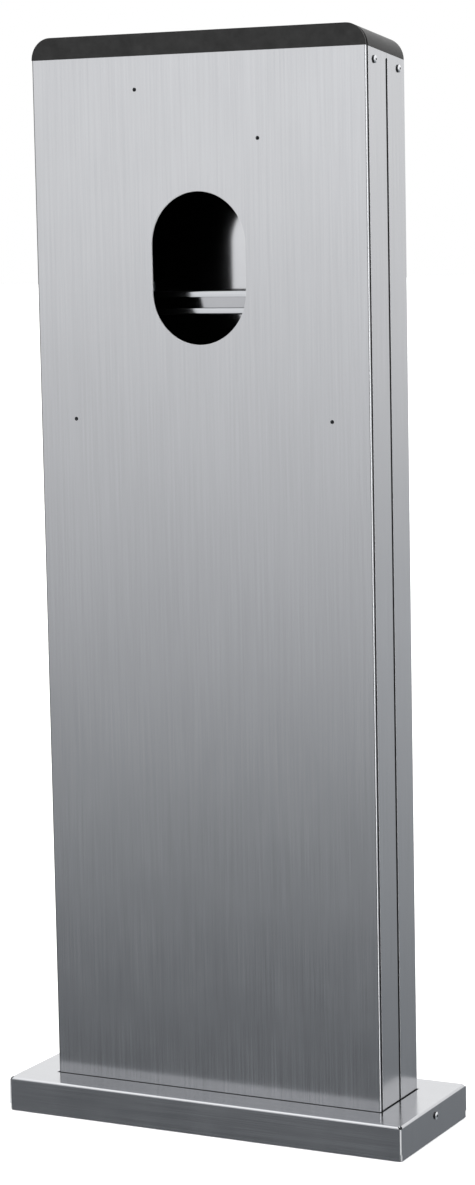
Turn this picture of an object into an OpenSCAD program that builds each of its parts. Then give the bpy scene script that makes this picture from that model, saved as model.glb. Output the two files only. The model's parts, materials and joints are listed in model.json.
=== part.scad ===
// Free-standing stainless-steel pedestal: a sheet-metal column with a sloping
// black cap, on a folded plinth. A terminal is screwed to its front panel, and
// its cables come in through the base plate and out through the front opening.
// Origin: centre of the footprint, on the ground. +Z up, -Y is the front.

/* [Column] */
// Width of the column
col_w = 460; // [380:1:560]
// Depth of the column, front to rear
col_d = 112; // [92:1:140]
// Height of the column's front, from the plinth's top to the cap's edge
col_h = 1302; // [1080:1:1600]
// Fall of the column's top towards the rear, in degrees
top_slope = 7; // [4:0.5:10]
// Thickness of the folded sheets
sheet = 2; // [1.5:0.1:2.5]
// Outer radius of the folds
fold_r = 2.5; // [2.5:0.1:3]
// Width of the flanges that the uprights turn inwards
upright_flange = 45; // [42:1:48]
// Width of the flanges that the rear shell turns inwards
shell_flange = 26; // [24:1:28]
// Distance of the side seam's centre behind the front face
seam_setback = 59.5; // [52:0.5:62]
// Width of the seam's groove between upright and rear shell
seam_gap = 4.3; // [3.5:0.1:5]
// Distance from the cap's edge down to the seam's round top end
seam_top_drop = 8.7; // [8:0.1:10]
// Diameter of the round top end of the seam
seam_relief_d = 5.4; // [5.2:0.1:6]
// Joint between the two side sheets above the seam
hairline = 0.3; // [0.2:0.1:0.5]

/* [Front panel] */
// Thickness of the front panel
panel_t = 2.5; // [2:0.1:3]
// Shadow gap between the panel and the uprights, the spacers' thickness
panel_gap = 4; // [3:0.1:5]
// Width of the cable opening
opening_w = 130; // [100:1:160]
// Height of the cable opening
opening_h = 188; // [150:1:200]
// Distance of the opening's centre below the column's front top edge
opening_drop = 261; // [225:1:285]
// Diameter of the holes for the terminal's screws
device_hole_d = 4.8; // [4.6:0.1:5.2]
// Bore of the clinch nuts behind those holes
device_bore_d = 4.2; // [4:0.1:4.5]
// Distance of the upper left hole from the centre line
upper_left_x = 84; // [75:0.5:95]
// Distance of the upper left hole below the top edge
upper_left_drop = 41; // [30:0.5:50]
// Distance of the upper right hole from the centre line
upper_right_x = 84.5; // [75:0.5:95]
// Distance of the upper right hole below the top edge
upper_right_drop = 105; // [90:0.5:115]
// Distance of the lower pair of holes from the panel's side edges
lower_pair_inset = 51.5; // [50:0.5:60]
// Distance of the lower pair below the top edge
lower_pair_drop = 448; // [400:1:480]

/* [Cap] */
// Height of the cap's front face
cap_h = 27; // [22:0.5:32]
// Wall of the cap
cap_wall = 2; // [1.5:0.1:2]
// Clearance under the cap's edge
cap_seat = 0.2; // [0.1:0.05:0.4]
// Depth of the cap's brackets below the column's top edge
bracket_drop = 26; // [23:1:30]
// Distance of the side screws below the cap's edge
cap_screw_drop = 13; // [12:0.5:14]
// Distance of the front side screws behind the front face
front_screw_inset = 24.5; // [22:0.5:28]
// Distance of the rear side screws from the rear face
rear_screw_inset = 17.5; // [14:0.5:20]

/* [Plinth] */
// Height of the plinth
plinth_h = 44; // [40:1:50]
// How far the plinth stands out at each end
plinth_end_margin = 48; // [44:1:60]
// How far the plinth stands out at the front and at the rear
plinth_front_margin = 46; // [42:1:60]
// Outer radius of the plinth cover's folds
plinth_fold_r = 3; // [2.6:0.1:3.5]
// Clearance between the cover's cut-out and the column
cutout_gap = 2; // [1:0.1:3]
// Clearance between the cover's edge and the ground
ground_gap = 1; // [0.5:0.1:2]
// Height of the plinth's end screws above the ground
plinth_screw_z = 29.7; // [27:0.1:31]
// Thickness of the base plate
base_t = 8; // [6:0.5:10]
// Diameter of the anchor holes
anchor_d = 14; // [12:0.5:16]
// Distance of the anchor holes from the base plate's ends
anchor_end_inset = 20; // [18:0.5:24]
// Distance of the anchor holes from the base plate's long edges
anchor_edge_inset = 22; // [18:0.5:24]
// Width of the cable entry in the base plate
entry_w = 220; // [160:1:240]
// Depth of the cable entry in the base plate
entry_d = 60; // [50:1:64]

/* [Cable rail] */
// Height of the cable rail
rail_h = 30; // [28:0.5:35]
// Depth of the cable rail
rail_d = 15; // [14:0.5:16]
// Wall of the cable rail
rail_t = 1.5; // [1.2:0.1:2]
// Width of the rail's slot
rail_slot = 14; // [12:0.5:16]
// Distance of the rail's lips behind the front face
rail_setback = 51; // [49:0.5:53]
// Distance of the rail's centre below the column's front top edge
rail_drop = 304.5; // [290:0.5:320]

/* [Frame] */
// Height of the crossbars
bar_h = 50; // [44:1:60]
// Depth of the crossbars' lips
bar_lip = 20; // [15:1:25]
// Distance of the top crossbar's centre below the top edge
top_bar_drop = 71; // [65:1:75]
// Distance of the middle crossbar's centre below the top edge
middle_bar_drop = 700; // [640:1:740]
// Height of the lower crossbar's centre above the ground
lower_bar_z = 150; // [130:1:170]

/* [Hidden] */
$fn = 64;

steel = [0.74, 0.75, 0.77];
zinc = [0.66, 0.68, 0.7];
black = [0.16, 0.16, 0.17];
seal = [0.08, 0.08, 0.09];
nylon = [0.85, 0.84, 0.8];

// Overall places
over = 1;                                 // how far a cutter runs past a face
side_x = col_w / 2;
front_y = -col_d / 2;
rear_y = col_d / 2;
top_z = plinth_h + col_h;                 // the column's front top edge
seam_y = front_y + seam_setback;
inner_r = fold_r - sheet;

// Uprights: from the shadow gap to the seam's groove
up_y0 = front_y + panel_t + panel_gap;
up_y1 = seam_y - seam_gap / 2;
up_x0 = side_x - upright_flange;
back_flange_y = up_y1 - sheet;            // front face of the uprights' rear flanges
shell_y0 = seam_y + seam_gap / 2;
flange_cut = bracket_drop + 12;           // the flanges end below the cap's brackets
skin_z0 = base_t + 2;                     // lower edge of panel and rear shell

// Fasteners: M5 button heads on the sides, M6 bolts in the frame
m5_r = 2.5;
m5_hole_r = 2.8;
m5_nut_af = 8;
m5_nut_t = 4;
m6_r = 3;
m6_hole_r = 3.3;
m6_nut_af = 10;
m6_nut_t = 5;
head_r = 4.75;
head_h = 2.75;
socket_af = 3;
washer_r = 5;
washer_t = 1;
slip = 0.1;                               // side play of sliding brackets and washers
snug = 0.05;                              // radial clearance of a pin in its hole
loose = 0.3;                              // clearance beside faces that don't touch
bracket_flange = 34;                      // width of the cap brackets' flanges
screw_len = 14;
clinch_r = 4.3;                           // outer radius of the panel's clinch nuts
cap_stud_xs = [-col_w / 3, 0, col_w / 3];
cap_stud_z = top_z + cap_h / 2;
cap_spacer_r = 5;
cap_washer_x = side_x - 2 * sheet - 3 * slip - washer_t;

// Frame bolts
bolt_x = up_x0 + 9;
bolt_head_h = 4;
bolt_len = 16;
bar_bolt_dz = 12;
bar_x = side_x - 16;
bar_zs = [top_z - top_bar_drop, top_z - middle_bar_drop, lower_bar_z];

// Panel studs
stud_x = side_x - 27;
stud_z0 = 80;
stud_z1 = top_z - 60;
stud_rows = 4;
stud_len = 14;
spacer_r = 7;
panel_seal_x = side_x - 18;
panel_seal_w = 7;

// Locating studs and grommets of the rear shell
loc_x = side_x - 9;
loc_z0 = 80;
loc_z1 = top_z - 120;
loc_rows = 3;
loc_r = 3;
loc_head_r = 5;
loc_head_h = 2;
loc_len = 18;
grommet_body_r = 4.5;
grommet_head_r = 6;
grommet_head_t = 1;
seam_seal_x = side_x - 24;
seam_seal_w = 7;

// Cable rail and its brackets
rail_y0 = front_y + rail_setback;
rail_y1 = rail_y0 + rail_d;
rail_z = top_z - rail_drop;
rail_half = up_x0 - 7;
rail_fold_r = 2;
rail_bracket_t = 2.5;
rail_bracket_h = 50;
rail_bracket_leg = 40;
rail_bolt_x = rail_half - 13;
rail_bracket_foot = 17;
rail_bolt_dz = 14;
slide_nut_w = 20;
slide_nut_h = 12;
slide_nut_t = 4;

// Plinth
plinth_w = col_w + 2 * plinth_end_margin;
plinth_d = col_d + 2 * plinth_front_margin;
corner_gap = 0.3;                         // between the flanges at the plinth's corners
corner_relief_d = 5;
notch_h = 8;
base_end_gap = 6;                         // between base plate and cover
base_edge_gap = 4;
base_w = plinth_w - 2 * (sheet + base_end_gap);
base_d = plinth_d - 2 * (sheet + base_edge_gap);
anchor_x = base_w / 2 - anchor_end_inset;
anchor_y = base_d / 2 - anchor_edge_inset;
entry_r = 12;
trim_t = 3;
trim_z0 = 0.5;
trim_rise = 3;                            // how far the edging stands above the plate
upstand_t = 3;
upstand_half_w = 25;
upstand_foot = 30;
upstand_x1 = plinth_w / 2 - sheet - loose;
plinth_washer_x = upstand_x1 - upstand_t - slip - washer_t;
gusset_t = 3;
gusset_w = 50;
gusset_h = 60;
gusset_edge = 8;

// Earthing point on the base plate
earth_x = entry_w / 2 + 40;
earth_r = 4;
earth_head_z0 = 0.5;
earth_recess = 5;                         // depth of the recess for the bolt's head
earth_len = 26;
earth_washer_r = 8;
earth_washer_t = 1.6;
earth_nut_af = 13;
earth_nut_t = 6.5;

function hex_r(af) = af / 2 / cos(30);
function edge_z(y) = top_z - (y - front_y) * tan(top_slope);
function spread(a, b, n) = [for (i = [0:n - 1]) a + (b - a) * i / (n - 1)];
cap_screw_ys = [front_y + front_screw_inset, rear_y - rear_screw_inset];

// ---- plain shapes ----

module both_sides() {
    children();
    mirror([1, 0, 0]) children();
}

// Rectangle from (x0, y0) to (x1, y1), its corners rounded to r
module round_rect(x0, y0, x1, y1, r) {
    translate([x0 + r, y0]) square([x1 - x0 - 2 * r, y1 - y0]);
    translate([x0, y0 + r]) square([x1 - x0, y1 - y0 - 2 * r]);
    for (x = [x0 + r, x1 - r], y = [y0 + r, y1 - r]) translate([x, y]) circle(r);
}

// Inverted U of width w and height h from y = 0, its wall t, its top corners r
module hood_profile(w, h, t, r) {
    difference() {
        arch(w, h, r);
        translate([0, -over]) arch(w - 2 * t, h - t + over, r - t);
    }
}

module arch(w, h, r) {
    difference() {
        translate([-w / 2, 0]) square([w, h]);
        for (s = [-1, 1]) scale([s, 1]) translate([w / 2 - r, h - r]) corner(r);
    }
}

// What a rounding of radius r takes off a corner, from its centre outwards
module corner(r) {
    difference() {
        square(r + over);
        circle(r);
    }
}

// Everything above the column's sloping top
module above_top(shift = 0) {
    on_top() translate([-col_w, -col_d, shift]) cube([2 * col_w, 4 * col_d, top_z]);
}

module on_top() {
    translate([0, front_y, top_z]) rotate([-top_slope, 0, 0]) children();
}

// Bar along Y from y0 to y1, its centre at (x, z)
module rod_y(x, z, y0, y1, r, fn = $fn) {
    translate([x, y0, z]) rotate([-90, 0, 0]) cylinder(h = y1 - y0, r = r, $fn = fn);
}

// Bar along X from x0 to x1, its centre at (y, z)
module rod_x(y, z, x0, x1, r, fn = $fn) {
    translate([x0, y, z]) rotate([0, 90, 0]) cylinder(h = x1 - x0, r = r, $fn = fn);
}

// Domed socket screw that enters the right side at x, pointing inwards
module button_screw(x, y, z) {
    dome_r = (head_r * head_r + head_h * head_h) / (2 * head_h);
    difference() {
        translate([x, y, z]) rotate([0, 90, 0]) rotate_extrude() {
            intersection() {
                translate([0, head_h - dome_r]) circle(dome_r);
                square([head_r, head_h]);
            }
            translate([0, -screw_len]) square([m5_r, screw_len + head_h / 4]);
        }
        rod_x(y, z, x + head_h / 3, x + head_h + over, hex_r(socket_af), 6);
    }
}

module nut_x(y, z, x0, t, af, r) {
    difference() {
        rod_x(y, z, x0, x0 + t, hex_r(af), 6);
        rod_x(y, z, x0 - over, x0 + t + over, r);
    }
}

module nut_y(x, z, y0, t, af, r) {
    difference() {
        rod_y(x, z, y0, y0 + t, hex_r(af), 6);
        rod_y(x, z, y0 - over, y0 + t + over, r);
    }
}

module ring_x(y, z, x0, t, r_out, r_in) {
    difference() {
        rod_x(y, z, x0, x0 + t, r_out);
        rod_x(y, z, x0 - over, x0 + t + over, r_in);
    }
}

module ring_y(x, z, y0, t, r_out, r_in) {
    difference() {
        rod_y(x, z, y0, y0 + t, r_out);
        rod_y(x, z, y0 - over, y0 + t + over, r_in);
    }
}

// ---- base ----

module base_plate() {
    color(zinc) difference() {
        translate([-base_w / 2, -base_d / 2, 0]) cube([base_w, base_d, base_t]);
        translate([0, 0, -over]) linear_extrude(base_t + 2 * over)
            round_rect(-entry_w / 2, -entry_d / 2, entry_w / 2, entry_d / 2, entry_r);
        for (x = [-anchor_x, anchor_x], y = [-anchor_y, anchor_y])
            translate([x, y, -over]) cylinder(h = base_t + 2 * over, d = anchor_d);
        translate([earth_x, 0, -over]) cylinder(h = base_t + 2 * over, r = earth_r + snug);
        translate([earth_x, 0, -over])
            cylinder(h = over + earth_recess, r = hex_r(earth_nut_af) + loose);
    }
}

// Rubber edging inside the cable entry
module entry_edge_trim() {
    x = entry_w / 2;
    y = entry_d / 2;
    color(seal) difference() {
        translate([0, 0, trim_z0]) linear_extrude(base_t + trim_rise - trim_z0)
            round_rect(-x, -y, x, y, entry_r);
        translate([0, 0, -over]) linear_extrude(base_t + trim_rise + 2 * over)
            round_rect(-x + trim_t, -y + trim_t, x - trim_t, y - trim_t, entry_r - trim_t);
    }
}

// Angles at the base plate's ends, with open slots for the cover's end screws
module plinth_brackets() {
    top = plinth_h - sheet - loose;
    color(zinc) both_sides() difference() {
        union() {
            translate([upstand_x1 - upstand_foot, seam_y - upstand_half_w, base_t])
                cube([upstand_foot, 2 * upstand_half_w, upstand_t]);
            translate([upstand_x1 - upstand_t, seam_y - upstand_half_w, base_t])
                cube([upstand_t, 2 * upstand_half_w, top - base_t]);
        }
        rod_x(seam_y, plinth_screw_z, upstand_x1 - upstand_t - over, upstand_x1 + over,
            m5_hole_r);
        translate([upstand_x1 - upstand_t - over, seam_y - m5_hole_r, plinth_screw_z])
            cube([upstand_t + 2 * over, 2 * m5_hole_r, plinth_h]);
    }
}

module foot_gussets() {
    x1 = side_x - sheet;
    color(zinc) both_sides() translate([0, (up_y0 + up_y1 + gusset_t) / 2, base_t])
        rotate([90, 0, 0]) linear_extrude(gusset_t)
        polygon([[x1, 0], [x1 - gusset_w, 0], [x1 - gusset_w, gusset_edge],
            [x1 - gusset_edge, gusset_h], [x1, gusset_h]]);
}

// ---- frame ----

// Right-hand upright: an inward-facing channel whose web is the side's front strip
module upright() {
    tab_y = seam_y - hairline / 2;
    difference() {
        union() {
            difference() {
                translate([0, 0, base_t]) linear_extrude(top_z - base_t) difference() {
                    round_rect(0, up_y0, side_x, up_y1, fold_r);
                    round_rect(-over, up_y0 + sheet, side_x - sheet, up_y1 - sheet, inner_r);
                    translate([-over, up_y0 - over]) square([up_x0 + over, col_d]);
                }
                translate([up_x0 - over, back_flange_y - over, edge_z(up_y1) - flange_cut])
                    cube([upright_flange - sheet + over, sheet + 2 * over, 2 * flange_cut]);
            }
            translate([side_x - sheet, up_y1 - fold_r, edge_z(seam_y) - seam_top_drop])
                cube([sheet, tab_y - up_y1 + fold_r, 2 * seam_top_drop]);
        }
        above_top();
        seam_relief();
        rod_x(cap_screw_ys[0], edge_z(cap_screw_ys[0]) - cap_screw_drop,
            side_x - sheet - over, side_x + over, m5_hole_r);
        for (z = spread(stud_z0, stud_z1, stud_rows))
            rod_y(stud_x, z, up_y0 - over, up_y0 + sheet + over, m5_hole_r);
        for (z = spread(loc_z0, loc_z1, loc_rows))
            rod_y(loc_x, z, back_flange_y - over, up_y1 + over, loc_r + snug);
        for (z = bar_zs, dz = [-bar_bolt_dz, bar_bolt_dz])
            rod_y(bolt_x, z + dz, back_flange_y - over, up_y1 + over, m6_hole_r);
        for (dz = [-rail_bolt_dz, rail_bolt_dz])
            rod_y(bolt_x, rail_z + dz, back_flange_y - over, up_y1 + over, m6_hole_r);
    }
}

module seam_relief() {
    rod_x(seam_y, edge_z(seam_y) - seam_top_drop, side_x - sheet - over, side_x + over,
        seam_relief_d / 2);
}

module upright_right() {
    color(steel) upright();
}

module upright_left() {
    color(steel) mirror([1, 0, 0]) upright();
}

// Crossbar: a channel between the uprights, bolted to their rear flanges
module crossbar(z) {
    color(zinc) difference() {
        translate([-bar_x, back_flange_y - bar_lip, z - bar_h / 2])
            cube([2 * bar_x, bar_lip, bar_h]);
        translate([-bar_x - over, back_flange_y - bar_lip - over, z - bar_h / 2 + sheet])
            cube([2 * (bar_x + over), bar_lip - sheet + over, bar_h - 2 * sheet]);
        both_sides() for (dz = [-bar_bolt_dz, bar_bolt_dz])
            rod_y(bolt_x, z + dz, back_flange_y - sheet - over, back_flange_y + over,
                m6_hole_r);
    }
}

module top_crossbar() {
    crossbar(bar_zs[0]);
}

module middle_crossbar() {
    crossbar(bar_zs[1]);
}

module lower_crossbar() {
    crossbar(bar_zs[2]);
}

module frame_bolt(z, y) {
    both_sides() {
        rod_y(bolt_x, z, y, y + bolt_head_h, hex_r(m6_nut_af), 6);
        rod_y(bolt_x, z, y - bolt_len, y, m6_r);
    }
}

module frame_bolts() {
    color(zinc) {
        for (z = bar_zs, dz = [-bar_bolt_dz, bar_bolt_dz]) frame_bolt(z + dz, up_y1);
        for (dz = [-rail_bolt_dz, rail_bolt_dz])
            frame_bolt(rail_z + dz, up_y1 + rail_bracket_t);
    }
}

module frame_nuts() {
    color(zinc) both_sides() {
        for (z = bar_zs, dz = [-bar_bolt_dz, bar_bolt_dz])
            nut_y(bolt_x, z + dz, back_flange_y - sheet - m6_nut_t, m6_nut_t, m6_nut_af, m6_r);
        for (dz = [-rail_bolt_dz, rail_bolt_dz])
            nut_y(bolt_x, rail_z + dz, back_flange_y - m6_nut_t, m6_nut_t, m6_nut_af, m6_r);
    }
}

// ---- cable rail ----

module c_rail() {
    color(steel) difference() {
        rotate([90, 0, 90]) linear_extrude(2 * rail_half, center = true) difference() {
            round_rect(rail_y0, rail_z - rail_h / 2, rail_y1, rail_z + rail_h / 2,
                rail_fold_r);
            round_rect(rail_y0 + rail_t, rail_z - rail_h / 2 + rail_t, rail_y1 - rail_t,
                rail_z + rail_h / 2 - rail_t, rail_fold_r - rail_t);
            translate([rail_y0 - over, rail_z - rail_slot / 2])
                square([rail_t + 2 * over, rail_slot]);
        }
        both_sides() rod_y(rail_bolt_x, rail_z, rail_y1 - rail_t - over, rail_y1 + over,
            m6_hole_r);
    }
}

// Z-shaped bracket from the upright's rear flange to the rail's back
module rail_bracket() {
    z0 = rail_z - rail_bracket_h / 2;
    web_x = up_x0 - rail_bracket_t;
    color(zinc) difference() {
        union() {
            translate([web_x, up_y1, z0])
                cube([rail_bracket_foot + rail_bracket_t, rail_bracket_t, rail_bracket_h]);
            translate([web_x, up_y1, z0])
                cube([rail_bracket_t, rail_y1 + rail_bracket_t - up_y1, rail_bracket_h]);
            translate([web_x + rail_bracket_t - rail_bracket_leg, rail_y1, z0])
                cube([rail_bracket_leg, rail_bracket_t, rail_bracket_h]);
        }
        for (dz = [-rail_bolt_dz, rail_bolt_dz])
            rod_y(bolt_x, rail_z + dz, up_y1 - over, up_y1 + rail_bracket_t + over, m6_hole_r);
        rod_y(rail_bolt_x, rail_z, rail_y1 - over, rail_y1 + rail_bracket_t + over, m6_hole_r);
    }
}

module rail_bracket_right() {
    rail_bracket();
}

module rail_bracket_left() {
    mirror([1, 0, 0]) rail_bracket();
}

module rail_bolts() {
    y = rail_y1 + rail_bracket_t;
    color(zinc) both_sides() {
        rod_y(rail_bolt_x, rail_z, y, y + bolt_head_h, hex_r(m6_nut_af), 6);
        rod_y(rail_bolt_x, rail_z, rail_y0 + rail_t + over, y, m6_r);
    }
}

module rail_slide_nuts() {
    y = rail_y1 - rail_t - slide_nut_t;
    color(zinc) both_sides() difference() {
        translate([rail_bolt_x - slide_nut_w / 2, y, rail_z - slide_nut_h / 2])
            cube([slide_nut_w, slide_nut_t, slide_nut_h]);
        rod_y(rail_bolt_x, rail_z, y - over, y + slide_nut_t + over, m6_r);
    }
}

// ---- front panel ----

function device_holes() = [
    [-upper_left_x, top_z - upper_left_drop],
    [upper_right_x, top_z - upper_right_drop],
    [-(side_x - lower_pair_inset), top_z - lower_pair_drop],
    [side_x - lower_pair_inset, top_z - lower_pair_drop]
];

module front_panel() {
    opening_z = top_z - opening_drop;
    straight = opening_h - opening_w;
    color(steel) difference() {
        translate([0, 0, skin_z0]) linear_extrude(top_z - skin_z0) difference() {
            translate([-side_x, front_y]) square([col_w, panel_t]);
            for (s = [-1, 1]) scale([s, 1])
                translate([side_x - panel_t, front_y + panel_t]) scale([1, -1]) corner(panel_t);
        }
        above_top();
        for (dz = [-straight / 2, straight / 2])
            rod_y(0, opening_z + dz, front_y - over, front_y + panel_t + over, opening_w / 2);
        translate([-opening_w / 2, front_y - over, opening_z - straight / 2])
            cube([opening_w, panel_t + 2 * over, straight]);
        for (p = device_holes())
            rod_y(p[0], p[1], front_y - over, front_y + panel_t + over, device_hole_d / 2);
    }
}

// Welded studs that carry the panel on the uprights' front flanges
module panel_studs() {
    y0 = front_y + panel_t;
    color(zinc) both_sides() for (z = spread(stud_z0, stud_z1, stud_rows))
        rod_y(stud_x, z, y0, y0 + stud_len, m5_r);
}

module panel_spacers() {
    color(seal) both_sides() for (z = spread(stud_z0, stud_z1, stud_rows))
        ring_y(stud_x, z, front_y + panel_t, panel_gap, spacer_r, m5_hole_r);
}

module panel_nuts() {
    color(zinc) both_sides() for (z = spread(stud_z0, stud_z1, stud_rows))
        nut_y(stud_x, z, up_y0 + sheet, m5_nut_t, m5_nut_af, m5_r);
}

// Black sealing strips at the bottom of the two shadow gaps
module panel_seals() {
    color(seal) both_sides() translate([panel_seal_x, front_y + panel_t, skin_z0 + over])
        cube([panel_seal_w, panel_gap, top_z - skin_z0 - 3 * over]);
}

// Clinch nuts behind the four holes for the terminal
module device_nuts() {
    color(zinc) for (p = device_holes())
        ring_y(p[0], p[1], front_y + panel_t, m5_nut_t, clinch_r, device_bore_d / 2);
}

// ---- rear shell ----

module rear_shell() {
    tab_y = seam_y + hairline / 2;
    color(steel) difference() {
        union() {
            difference() {
                translate([0, 0, skin_z0]) linear_extrude(top_z - skin_z0) difference() {
                    round_rect(-side_x, shell_y0, side_x, rear_y, fold_r);
                    round_rect(-side_x + sheet, shell_y0 + sheet, side_x - sheet,
                        rear_y - sheet, inner_r);
                    translate([-side_x + shell_flange, shell_y0 - over])
                        square([col_w - 2 * shell_flange, sheet + 2 * over]);
                }
                translate([-side_x + sheet, shell_y0 - over, edge_z(shell_y0) - flange_cut])
                    cube([col_w - 2 * sheet, sheet + 2 * over, 2 * flange_cut]);
            }
            both_sides()
                translate([side_x - sheet, tab_y, edge_z(seam_y) - seam_top_drop])
                cube([sheet, shell_y0 + fold_r - tab_y, 2 * seam_top_drop]);
        }
        above_top();
        both_sides() {
            seam_relief();
            rod_x(cap_screw_ys[1], edge_z(cap_screw_ys[1]) - cap_screw_drop,
                side_x - sheet - over, side_x + over, m5_hole_r);
            for (z = spread(loc_z0, loc_z1, loc_rows))
                rod_y(loc_x, z, shell_y0 - over, shell_y0 + sheet + over,
                    grommet_body_r + snug);
        }
    }
}

// Studs riveted to the uprights, which locate the rear shell
module locating_studs() {
    color(zinc) both_sides() for (z = spread(loc_z0, loc_z1, loc_rows)) {
        rod_y(loc_x, z, back_flange_y - loc_head_h, back_flange_y, loc_head_r);
        rod_y(loc_x, z, back_flange_y, back_flange_y + loc_len, loc_r);
    }
}

module stud_grommets() {
    y0 = shell_y0 - grommet_head_t;
    len = sheet + 2 * grommet_head_t;
    color(nylon) both_sides() for (z = spread(loc_z0, loc_z1, loc_rows)) difference() {
        union() {
            rod_y(loc_x, z, y0, y0 + len, grommet_body_r);
            rod_y(loc_x, z, y0, y0 + grommet_head_t, grommet_head_r);
            rod_y(loc_x, z, y0 + len - grommet_head_t, y0 + len, grommet_head_r);
        }
        rod_y(loc_x, z, y0 - over, y0 + len + over, loc_r + snug);
    }
}

// Black sealing strips at the bottom of the side seams
module seam_seals() {
    color(seal) both_sides() translate([seam_seal_x, up_y1, skin_z0 + over])
        cube([seam_seal_w, seam_gap, edge_z(seam_y) - flange_cut - skin_z0 - 2 * over]);
}

// ---- earthing point ----

module earth_bolt() {
    color(zinc) {
        translate([earth_x, 0, earth_head_z0])
            cylinder(h = earth_recess - earth_head_z0, r = hex_r(earth_nut_af), $fn = 6);
        translate([earth_x, 0, earth_recess]) cylinder(h = earth_len, r = earth_r);
    }
}

module earth_washers() {
    color(steel) for (z = [base_t, base_t + earth_washer_t + earth_nut_t])
        translate([earth_x, 0, z]) difference() {
            cylinder(h = earth_washer_t, r = earth_washer_r);
            translate([0, 0, -over]) cylinder(h = earth_washer_t + 2 * over, r = earth_r + slip);
        }
}

module earth_nuts() {
    first = base_t + earth_washer_t;
    color("goldenrod") for (z = [first, first + earth_nut_t + earth_washer_t])
        translate([earth_x, 0, z]) difference() {
            cylinder(h = earth_nut_t, r = hex_r(earth_nut_af), $fn = 6);
            translate([0, 0, -over]) cylinder(h = earth_nut_t + 2 * over, r = earth_r);
        }
}

// ---- cap ----

// Solid in the cap's outline from y0 to y1, shrunk by a wall and run on below its edge
module cap_block(y0, y1, wall, below) {
    r = cap_h * cos(top_slope) - wall;
    intersection() {
        on_top() translate([0, col_d / 2, cap_seat - below]) rotate([90, 0, 0])
            linear_extrude(2 * col_d, center = true) arch(col_w - 2 * wall, r + below, r);
        translate([-col_w, y0, 0]) cube([2 * col_w, y1 - y0, 2 * top_z]);
    }
}

// Hood behind the shadow gap, which runs on upwards from the column
module cap_shell() {
    color(black) difference() {
        cap_block(up_y0, rear_y, 0, 0);
        cap_block(up_y0 + cap_wall, rear_y - cap_wall, cap_wall, over);
        for (x = cap_stud_xs)
            rod_y(x, cap_stud_z, up_y0 - over, up_y0 + cap_wall + over, m5_hole_r);
    }
}

module cap_front_plate() {
    color(black) cap_block(front_y, front_y + panel_t, 0, 0);
}

module cap_plate_studs() {
    y0 = front_y + panel_t;
    color(zinc) for (x = cap_stud_xs) rod_y(x, cap_stud_z, y0, y0 + stud_len, m5_r);
}

module cap_plate_spacers() {
    color(seal) for (x = cap_stud_xs)
        ring_y(x, cap_stud_z, front_y + panel_t, panel_gap, cap_spacer_r, m5_hole_r);
}

module cap_plate_nuts() {
    color(zinc) for (x = cap_stud_xs)
        nut_y(x, cap_stud_z, up_y0 + cap_wall, m5_nut_t, m5_nut_af, m5_r);
}

// Angle welded across the right end of the cap, slotted over the side screws
module cap_bracket() {
    leg_x1 = side_x - sheet - 2 * slip;
    leg_x0 = leg_x1 - sheet;
    leg_y0 = up_y0 + 2 * sheet;
    leg_y1 = rear_y - sheet - fold_r;
    lift = cap_seat + loose;
    color(black) difference() {
        intersection() {
            on_top() translate([0, col_d / 2, 0]) rotate([90, 0, 0])
                linear_extrude(2 * col_d, center = true) intersection() {
                translate([leg_x1 - bracket_flange, -bracket_drop])
                    square([bracket_flange, bracket_drop + lift + sheet]);
                difference() {
                    round_rect(0, -top_z, leg_x1, lift + sheet, fold_r);
                    round_rect(-over, -top_z - over, leg_x0, lift, inner_r);
                }
            }
            translate([0, up_y0 + cap_wall, 0])
                cube([col_w, rear_y - up_y0 - 2 * cap_wall, 2 * top_z]);
        }
        // below the seat only the leg goes on down, between the column's folds
        difference() {
            union() {
                translate([0, leg_y0 - col_d, 0]) cube([col_w, col_d, 2 * top_z]);
                translate([0, leg_y1, 0]) cube([col_w, col_d, 2 * top_z]);
            }
            above_top(cap_seat);
        }
        for (y = cap_screw_ys) screw_slot(leg_x0, y, edge_z(y) - cap_screw_drop);
    }
}

// Hole for a side screw, open at the bottom
module screw_slot(x0, y, z) {
    rod_x(y, z, x0 - over, x0 + sheet + over, m5_hole_r);
    translate([x0 - over, y - m5_hole_r, z - 2 * bracket_drop])
        cube([sheet + 2 * over, 2 * m5_hole_r, 2 * bracket_drop]);
}

module cap_bracket_right() {
    cap_bracket();
}

module cap_bracket_left() {
    mirror([1, 0, 0]) cap_bracket();
}

module cap_screws() {
    color(steel) both_sides() for (y = cap_screw_ys)
        button_screw(side_x, y, edge_z(y) - cap_screw_drop);
}

module cap_washers() {
    color(zinc) both_sides() for (y = cap_screw_ys)
        ring_x(y, edge_z(y) - cap_screw_drop, cap_washer_x, washer_t, washer_r, m5_r);
}

module cap_nuts() {
    color(zinc) both_sides() for (y = cap_screw_ys)
        nut_x(y, edge_z(y) - cap_screw_drop, cap_washer_x - m5_nut_t, m5_nut_t, m5_nut_af,
            m5_r);
}

// ---- plinth cover ----

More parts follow.
